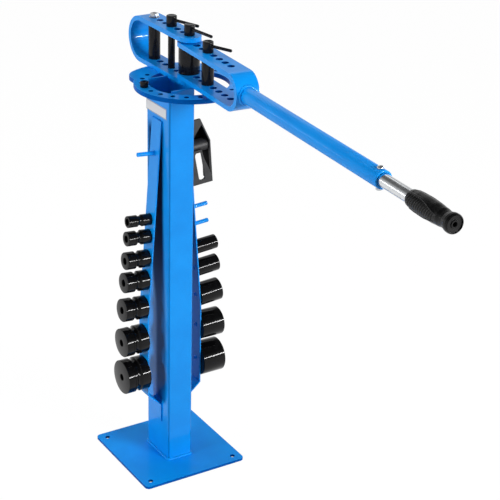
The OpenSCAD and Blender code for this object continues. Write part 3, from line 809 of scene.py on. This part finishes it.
def hex_bar(width, low, high):
    """A six sided bar, by its width across flats."""
    bpy.ops.object.select_all(action="DESELECT")
    return cylinder(width / 2 * HEX_CORNER, high - low, (0, 0, (high + low) / 2), sides=6)


def nut(name, width, height, bore):
    """A hex nut with its corners turned off at both ends."""
    corner = width / 2 * HEX_CORNER
    blank = turned(name, [(bore + 0.5, 0), (corner - 1.2, 0), (corner + 0.1, 0.8),
                          (corner + 0.1, height - 0.8), (corner - 1.2, height),
                          (bore + 0.5, height), (bore, height - 0.5), (bore, 0.5),
                          (bore + 0.5, 0)], 48)
    return cut_with(blank, hex_bar(width, -1, height + 1), "INTERSECT")


def place_zinc(obj, where, node):
    place(obj, where, node, "zinc_steel", zinc)


roller = PIVOT @ mm(0, ROLLER_Y, 0)
nut_turn = Matrix.Rotation(math.radians(30), 4, "Z")
place_zinc(nut("roller_nut_dressed", 19, 9, 6.05), roller @ nut_turn @ mm(0, 0, NUT_Z),
           "roller_nut")
washer = turned("roller_washer_dressed", [(6.1, 0.3), (6.4, 0), (11, 0), (11.4, 0.4), (11.4, 1.6),
                                          (11, 2), (6.4, 2), (6.1, 1.7), (6.1, 0.3)], 64)
place_zinc(washer, roller @ mm(0, 0, WASHER_Z), "roller_washer")
shank = [(0, -112), (5.2, -112), (6, -111.2), (6, 0), (8.6, 0), (9, 0.5)]
head = turned("roller_bolt_dressed", shank + arc(8.1, 6.3, 0.9, 0, 90, 3)
              + [(4.4, 7.2), (0, 7.2)], 64)
cut_with(head, hex_bar(7.2, 2.4, 9), "DIFFERENCE")
place_zinc(head, roller @ mm(0, 0, HEAD_Z), "roller_bolt")

cross = ARM @ mm(0, CROSS_Y, ARM_AXIS_Z)
shank = [(0, -22.8), (2.5, -22.8), (3, -22.2), (3, 17), (5.4, 17), (5.7, 17.4)]
bolt = turned("cross_bolt_dressed", shank + arc(3.6, 18.9, 2.3, 0, 80, 4) + [(0, 21.2)], 48)
place_zinc(bolt, cross, "cross_bolt")
place_zinc(nut("cross_nut_dressed", 10.2, 4.8, 3.05), cross @ mm(0, 0, CROSS_NUT_Z), "cross_nut")
print("fasteners", sum(o.name.split("_")[0] in ("roller", "cross") for o in bpy.data.objects))

# %% [markdown]
# ## The slotted block
# The casting on the right top peg is open: a front plate with a long slot and a large
# opening, a thin slanting outer side, an inner side against the strip, a wall behind the
# opening and a boss along the bore. It could be cut from one lump with Booleans, but thin
# walls are easier to get right as plates. Each is a filled flat curve made thick, drawn
# with x away from the strip, y up from the bore and z to the front.

# %% Sizes and plates of the slotted block
OUT, DOWN, UP, HALF_DEEP, WALL, RIM, BOSS_R = 47.8, 82, 65, 18, 5, 3, 14
SHOULDER, POINT_X, BODY_TOP, BACK_LOW = 12.4, 27, 50, -25
WALL_FRONT = HALF_DEEP - WALL + 1  # the side walls end inside the front plate
SLOT_TOP, SLOT_FOOT, SLOT_HALF = Vector((17, -16.4)), Vector((22.8, -65.6)), 8
OFF_STRIP, FORWARD = 2.8, 0.3  # how the block hangs from its peg's root


def outer_side(y, inset=0.0):
    """How far the block's outer side is from the strip at a height."""
    return OUT - inset - max(0, y - SHOULDER) * (OUT - POINT_X) / (UP - SHOULDER)


def slab(outline, low, high, *holes):
    """A plate between two heights, from its outline and its holes in millimetres."""
    sheet = bpy.data.curves.new("slab", "CURVE")
    sheet.dimensions, sheet.fill_mode, sheet.extrude = "2D", "BOTH", (high - low) / 2 * MM
    for points in (outline, *holes):
        line = sheet.splines.new("POLY")
        line.points.add(len(points) - 1)
        line.use_cyclic_u = True
        for point, (x, y) in zip(line.points, points):
            point.co = (x * MM, y * MM, 0, 1)
    obj = bpy.data.objects.new("slab", sheet)
    bpy.context.scene.collection.objects.link(obj)
    obj.location.z = (low + high) / 2 * MM
    select_only(obj)
    bpy.ops.object.convert(target="MESH")
    bpy.ops.object.transform_apply(location=True, rotation=True, scale=True)
    bpy.ops.object.mode_set(mode="EDIT")
    bpy.ops.mesh.select_all(action="SELECT")
    bpy.ops.mesh.remove_doubles(threshold=0.00002)
    bpy.ops.mesh.normals_make_consistent(inside=False)
    bpy.ops.object.mode_set(mode="OBJECT")
    return bpy.context.object


def slot_outline(count=12):
    """The long slot: a half circle at each end."""
    run = math.atan2(*(SLOT_TOP - SLOT_FOOT).yx)
    return [tuple(end + SLOT_HALF * Vector((math.cos(run + a), math.sin(run + a))))
            for end, start in ((SLOT_TOP, -math.pi / 2), (SLOT_FOOT, math.pi / 2))
            for a in (start + math.pi * i / count for i in range(count + 1))]


print("outer side at the bore and at the top", outer_side(0), outer_side(UP), "mm out")

# %% [markdown]
# ## The block's walls
# The four plates share their corners, so the walls meet without a step. The bore goes
# through both sides, and the boss is a lathe job laid on its side.

# %% Walls and boss
slant = [(OUT, SHOULDER), (outer_side(BODY_TOP), BODY_TOP)]
opening = [(6, -4.1), (26, -4.1), (29.5, -22.1), (OUT - RIM, -62.3),
           (outer_side(SHOULDER, RIM), SHOULDER), (outer_side(BODY_TOP + 2, RIM), BODY_TOP + 2),
           (6, 24)]
front_plate = slab([(0, -DOWN), (OUT, -DOWN), (OUT, SHOULDER), (POINT_X, UP), (0, UP)],
                   HALF_DEEP - WALL, HALF_DEEP, opening, slot_outline())
inner_wall = slab([(0, -DOWN), (WALL, -DOWN), (WALL, BODY_TOP), (0, BODY_TOP)],
                  -HALF_DEEP, WALL_FRONT)
outer_wall = slab([(OUT - RIM, -DOWN), (OUT, -DOWN), *slant, (outer_side(BODY_TOP, RIM), BODY_TOP),
                   (outer_side(SHOULDER, RIM), SHOULDER)], -HALF_DEEP, WALL_FRONT)
back_wall = slab([(0, BACK_LOW), (OUT, BACK_LOW), *slant, (0, BODY_TOP)],
                 -HALF_DEEP, WALL - HALF_DEEP)
for wall in (inner_wall, outer_wall):
    cut_with(wall, cylinder(BORE, 120, (0, 0, 0), (0, math.pi / 2, 0), 48), "DIFFERENCE")
start, end = 3, OUT - RIM / 2
boss = turned("boss", [(BORE, start), (BOSS_R, start), (BOSS_R, end), (BORE, end),
                       (BORE, start)], 64)
boss.matrix_world = Matrix.Rotation(math.pi / 2, 4, "Y")
select_only(boss)
bpy.ops.object.transform_apply(location=True, rotation=True, scale=True)
walls = (front_plate, inner_wall, outer_wall, back_wall, boss)
print("walls", len(walls))

# %% [markdown]
# ## The block's skin and its place
# Every edge of a casting is soft, so each wall is rounded before they are joined. Light
# hardly gets inside, so the inner faces get painted shade: a darker, duller black.

# %% Finish the block
for part in walls:
    break_edges(part, 0.7)
    part.data.materials.clear()
    part.data.materials.append(casting)
    part.data.materials.append(shaded_hollow_black)
    # Inner faces of the walls take the painted shade
    for face in part.data.polygons:
        x, y, z = face.center * 1000
        within = WALL - 0.4 < x < outer_side(y, RIM) + 0.4 and z < HALF_DEEP - WALL
        face.material_index = int(within and part is not boss)
select_only(front_plate)
for part in walls[1:]:
    part.select_set(True)
bpy.ops.object.join()
front_plate.name = "slotted_block_dressed"
upright = Matrix(((0, -1, 0, 0), (0, 0, -1, 0), (1, 0, 0, 0), (0, 0, 0, 1)))
hung = mm(OFF_STRIP, 0, FORWARD) @ upright
front_plate.matrix_world = peg_root(1, PEG_SHARES[1][0]) @ hung
settle(front_plate, body_of_node["slotted_block"], "slotted_block", slot="black_casting")
low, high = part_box("slotted_block")
corners = [v.co for v in front_plate.data.vertices]
spare = [round(value * 1000, 1) for k in range(3)
         for value in (min(c[k] for c in corners) - low[k], high[k] - max(c[k] for c in corners))]
print("block inside its CAD box by", spare, "mm")

# %% [markdown]
# ## Handle and inner tube
# The handle is a turned tube whose start is hidden in the bend of the swing frame. A
# bright tube slides into it and is held by the cross bolt. The CAD tubes have few sides,
# which a mirror finish would show, so both are swept again with many.

# %% Handle and inner tube
HANDLE_START, HANDLE_END, HANDLE_R, HANDLE_BORE = 250, 735, 17, 13
mouth = arc(HANDLE_R - 0.8, HANDLE_END - 0.8, 0.8, 0, 90, 3)
handle = turned("handle_tube_dressed", [(HANDLE_BORE, HANDLE_START), (HANDLE_R, HANDLE_START),
                                        (HANDLE_R, HANDLE_END - 0.8)] + mouth
                + [(HANDLE_BORE + 0.5, HANDLE_END), (HANDLE_BORE, HANDLE_END - 0.5),
                   (HANDLE_BORE, HANDLE_START)], 128)
place(handle, along_arm(0), "handle_tube", "blue_paint", blue)
tube = turned("inner_tube_dressed", [(10.5, 565), (12.5, 565), (12.5, 928), (10.5, 928),
                                     (10.5, 565)], 72)
place(tube, along_arm(0), "inner_tube", "bright_tube", bright)
print("handle", HANDLE_END - HANDLE_START, "mm long")

# %% [markdown]
# ## The grip
# The grip is a moulded rubber sleeve: full in the middle, with a neck and an end flange.
# Each side has a long panel with a raised edge and slanting ribs, and the top and the
# bottom stay smooth. Sculpting could make them, but the ribs repeat, so a short sum moves
# the points of the turned shape in and out. The end is a rim and a hub round a groove.

# %% The grip's shape
GRIP_START, GRIP_LONG, GRIP_FULL, GRIP_BORE = 819, 121, 18.0, 12.58
RINGS, AROUND = 150, 200
EDGE_UP, PANEL_DOWN, RIB_DEEP, RIB_PITCH, RIB_TWIST = 0.8, 0.35, 1.0, 6.0, 46
grip_shares = [(0, 0.78), (0.02, 0.86), (0.08, 0.93), (0.2, 0.98), (0.36, 1), (0.56, 0.98),
               (0.72, 0.91), (0.8, 0.84), (0.84, 0.83), (0.88, 0.9), (0.92, 0.97), (0.96, 0.98),
               (0.985, 0.94), (1, 0.86)]


def ease(value, low, high):
    """0 below low, 1 above high, smooth between them."""
    t = min(1, max(0, (value - low) / (high - low)))
    return t * t * (3 - 2 * t)


def grip_radius(share):
    """The grip's radius at a share of its length, smooth between the listed points."""
    for (a, ra), (b, rb) in zip(grip_shares, grip_shares[1:]):
        if share <= b:
            return GRIP_FULL * (ra + (rb - ra) * ease(share, a, b))
    return GRIP_FULL * grip_shares[-1][1]


def grip_relief(angle, share):
    """How far the skin stands out of the plain shape: side panels with ribs and an edge."""
    signed = math.degrees(math.asin(math.sin(angle)))
    off_side = abs(signed)
    half = 56 - 30 * ease(share, 0.3, 0.72)
    ends = ease(share, 0.03, 0.09) * (1 - ease(share, 0.64, 0.7))
    panel = ends * (1 - ease(off_side, half - 7, half - 2))
    edge = ends * ease(off_side, half - 5, half - 1) * (1 - ease(off_side, half + 1, half + 9))
    wave = math.sin(math.tau * (share * GRIP_LONG / RIB_PITCH + signed / RIB_TWIST))
    return EDGE_UP * edge - panel * (PANEL_DOWN + RIB_DEEP * ease(wave, -0.5, 0.5))


print("grip", round(2 * grip_radius(0.36), 1), "mm at its fullest")

# %% [markdown]
# ## Turning the grip
# The shape is turned plain, in many thin rings, and then each point of its skin moves. The
# ribs are real geometry, so they also show at the outline.

# %% Grip
skin = [(grip_radius(i / RINGS), GRIP_LONG * i / RINGS) for i in range(RINGS + 1)]
end_face = [(radius, GRIP_LONG - deep) for radius, deep in
            ((14.6, 0), (13.8, 2.2), (7.6, 2.4), (7, 0.7), (4.7, 0.7), (4, 1.5), (4, 12),
             (GRIP_BORE, 12))]
grip = turned("grip_dressed", [(GRIP_BORE, 0.4), (13, 0), *skin, *end_face, (GRIP_BORE, 0.4)],
              AROUND)
for vertex in grip.data.vertices:
    x, y, z = vertex.co * 1000
    radius, share = math.hypot(x, y), z / GRIP_LONG
    if radius > 13.3 and 0.01 < share < 0.78:  # not the bore, nor the neck and the flange
        out = 1 + grip_relief(math.atan2(y, x), share) / radius
        vertex.co.x *= out
        vertex.co.y *= out
grip.data.update()
select_only(grip)
bpy.ops.object.shade_smooth_by_angle(angle=math.radians(50))
place(grip, along_arm(GRIP_START), "grip", "grip_rubber", rubber)
print("grip faces", len(grip.data.polygons))

# %% [markdown]
# ## Weld beads
# The column, the pegs and the handle are welded. A bead is a row of overlapping drops. A
# row of spheres would do it, but a round curve along the seam, whose radius swells at
# every drop, is one smooth skin.

# %% Beads
SWELL = 0.14
BEAD_OFF, BASE_TOP, COLUMN_BACK, CORNER_R = 1.2, 6, 50, 6


def bead(name, points, thick, drop, body, *stands_for):
    """A weld bead in millimetres through a closed row of points."""
    loop = [Vector(p) for p in points]
    walk, at = [], 0.0
    for a, b in zip(loop, loop[1:] + loop[:1]):
        long = (b - a).length
        steps = max(1, round(long / (drop / 3)))
        walk += [(a.lerp(b, i / steps), at + long * i / steps) for i in range(steps)]
        at += long
    curve = bpy.data.curves.new(name, "CURVE")
    curve.dimensions = "3D"
    curve.bevel_depth, curve.bevel_resolution = thick * MM, 3
    line = curve.splines.new("POLY")
    line.points.add(len(walk) - 1)
    line.use_cyclic_u = True
    for point, (where, distance) in zip(line.points, walk):
        uneven = 0.4 * math.sin(distance * 0.11)
        point.co = (*(where * MM), 1)
        point.radius = 1 - SWELL + SWELL * abs(math.sin(math.pi * distance / drop + uneven))
    obj = bpy.data.objects.new(name, curve)
    bpy.context.scene.collection.objects.link(obj)
    select_only(obj)
    bpy.ops.object.convert(target="MESH")
    obj = bpy.context.object
    bpy.ops.object.shade_smooth()
    return settle(obj, body, *stands_for, slot="blue_paint", material=blue)


def circle(radius, z, count):
    """Points round the z axis."""
    turns = [math.tau * i / count for i in range(count)]
    return [Vector((radius * math.cos(a), radius * math.sin(a), z)) for a in turns]


def round_rect(half_x, half_y, radius, z, steps=6):
    """Points round a rectangle with round corners."""
    points = []
    for k, (sx, sy) in enumerate(((1, 1), (-1, 1), (-1, -1), (1, -1))):
        for i in range(steps + 1):
            a = math.radians(90 * k + 90 * i / steps)
            points.append((sx * (half_x - radius) + radius * math.cos(a),
                           sy * (half_y - radius) + radius * math.sin(a), z))
    return points


def placed(where, points):
    """Points in millimetres, moved by a placing matrix in metres."""
    return [(where @ (point * MM)) * 1000 for point in points]


foot_line = round_rect(COLUMN_HALF + BEAD_OFF, COLUMN_BACK + BEAD_OFF, CORNER_R + BEAD_OFF,
                       BASE_TOP + BEAD_OFF)
bead("foot_bead", foot_line, 2.9, 5.0, "stand", "foot_weld")
SEAM_R, BEND_Y, BEND_R = 18.2, 219, 38.5
joint_line = [Vector((x, BEND_Y + math.sqrt(BEND_R ** 2 - z * z), ARM_AXIS_Z + z))
              for x, z, _ in circle(SEAM_R, 0, 72)]
bead("handle_bead", placed(ARM, joint_line), 3.4, 5.0, "swing_arm", "handle_weld")
for side, side_name in ((-1, "left"), (1, "right")):
    for k, share in enumerate(PEG_SHARES[side]):
        root = peg_root(side, share)
        # One bead where the peg leaves the strip, one on its end behind the strip
        for name, radius, deep in (("peg_bead", 4.9, 0.5), ("peg_end_bead", 4.4, -3.2)):
            ring = placed(root, circle(radius, deep, 20))
            bead(f"{name}_{side_name}_{k}", ring, 1.3, 2.6, "stand")

# %% [markdown]
# ## The blank plate on the column
# Below the ring, the column's left side carries a pale plate. It is left blank: a thin
# sheet with rounded edges and a slightly darker border. The border is a mask in the
# shader, because paint has no thickness that could be seen here.

# %% Blank plate
PLATE_Y, PLATE_Z, PLATE_LONG, PLATE_HIGH, BORDER = 6, 823.5, 86, 23, 2
PLATE_OFF, PLATE_THICK = 0.2, 0.5
plate_paint = Shader("blank_plate")
spot = plate_paint.place()
_, y_mm, z_mm = plate_paint.split(spot)
inside = (((y_mm - PLATE_Y).size() < PLATE_LONG / 2 - BORDER)
          * ((z_mm - PLATE_Z).size() < PLATE_HIGH / 2 - BORDER))
speck = plate_paint.noise(spot, 0.5, 4, 0.6)
plate_tone = plate_paint.blend(inside, colour(150, 160, 172), colour(214, 214, 216))
plate_paint.set(Base_Color=plate_tone, Roughness=0.32 + speck * 0.15,
                Normal=plate_paint.bump(speck, 0.02, 0.3))
bpy.ops.object.select_all(action="DESELECT")
middle = Vector((-COLUMN_HALF - PLATE_OFF, PLATE_Y, PLATE_Z))
size = Vector((PLATE_THICK, PLATE_LONG, PLATE_HIGH))
bpy.ops.mesh.primitive_cube_add(size=1, location=middle * MM, scale=size * MM)
plate = bpy.context.object
plate.name = "blank_plate"
bpy.ops.object.transform_apply(location=False, rotation=False, scale=True)
soften = plate.modifiers.new("corner", "BEVEL")
soften.width, soften.segments, soften.limit_method = 0.2 * MM, 2, "ANGLE"
apply_all(plate)
settle(plate, "stand", material=plate_paint.material)
print("plate", [round(v, 4) for v in plate.dimensions])

# %% [markdown]
# ## Finish
# The welds under the ring are small and hidden, so they keep their CAD shape and take the
# enamel.

# %% Last parts
nodes["ring_weld"].data.materials.clear()
nodes["ring_weld"].data.materials.append(blue)
